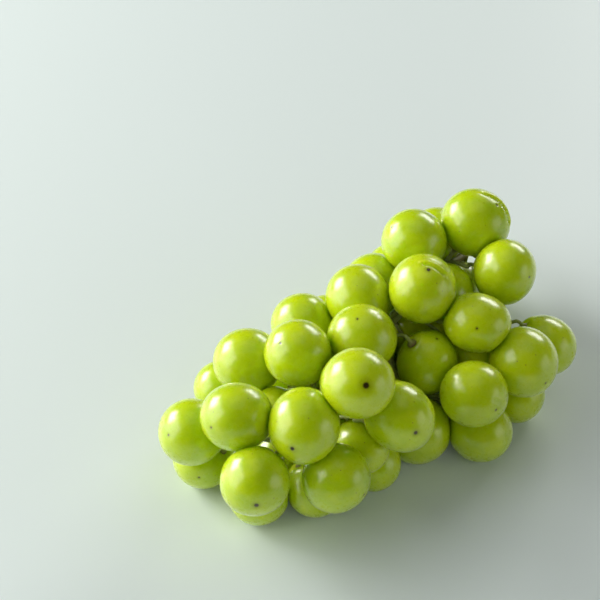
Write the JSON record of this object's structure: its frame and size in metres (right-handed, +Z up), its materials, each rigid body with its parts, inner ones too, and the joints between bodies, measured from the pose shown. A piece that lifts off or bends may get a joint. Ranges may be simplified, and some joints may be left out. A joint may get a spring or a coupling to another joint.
{
  "type": "bunch of grapes",
  "caption": "Bunch of large, nearly round green seedless grapes lying on its side, crowded round a branched stem whose cut stalk end stands out.",
  "frame": {"origin": "centre of the bottom of the bunch's box, on the surface that it lies on", "axes": "+X along the bunch to the cut end of its stalk, +Z up from the surface, +Y to the side that the picture doesn't show"},
  "size_m": [0.2146, 0.1191, 0.0801],
  "materials": {
    "grape_skin": "satin",
    "green_stem": "matte"
  },
  "bodies": {
    "root": {"berries": "grape_skin", "stem": "green_stem"}
  },
  "joints": []
}
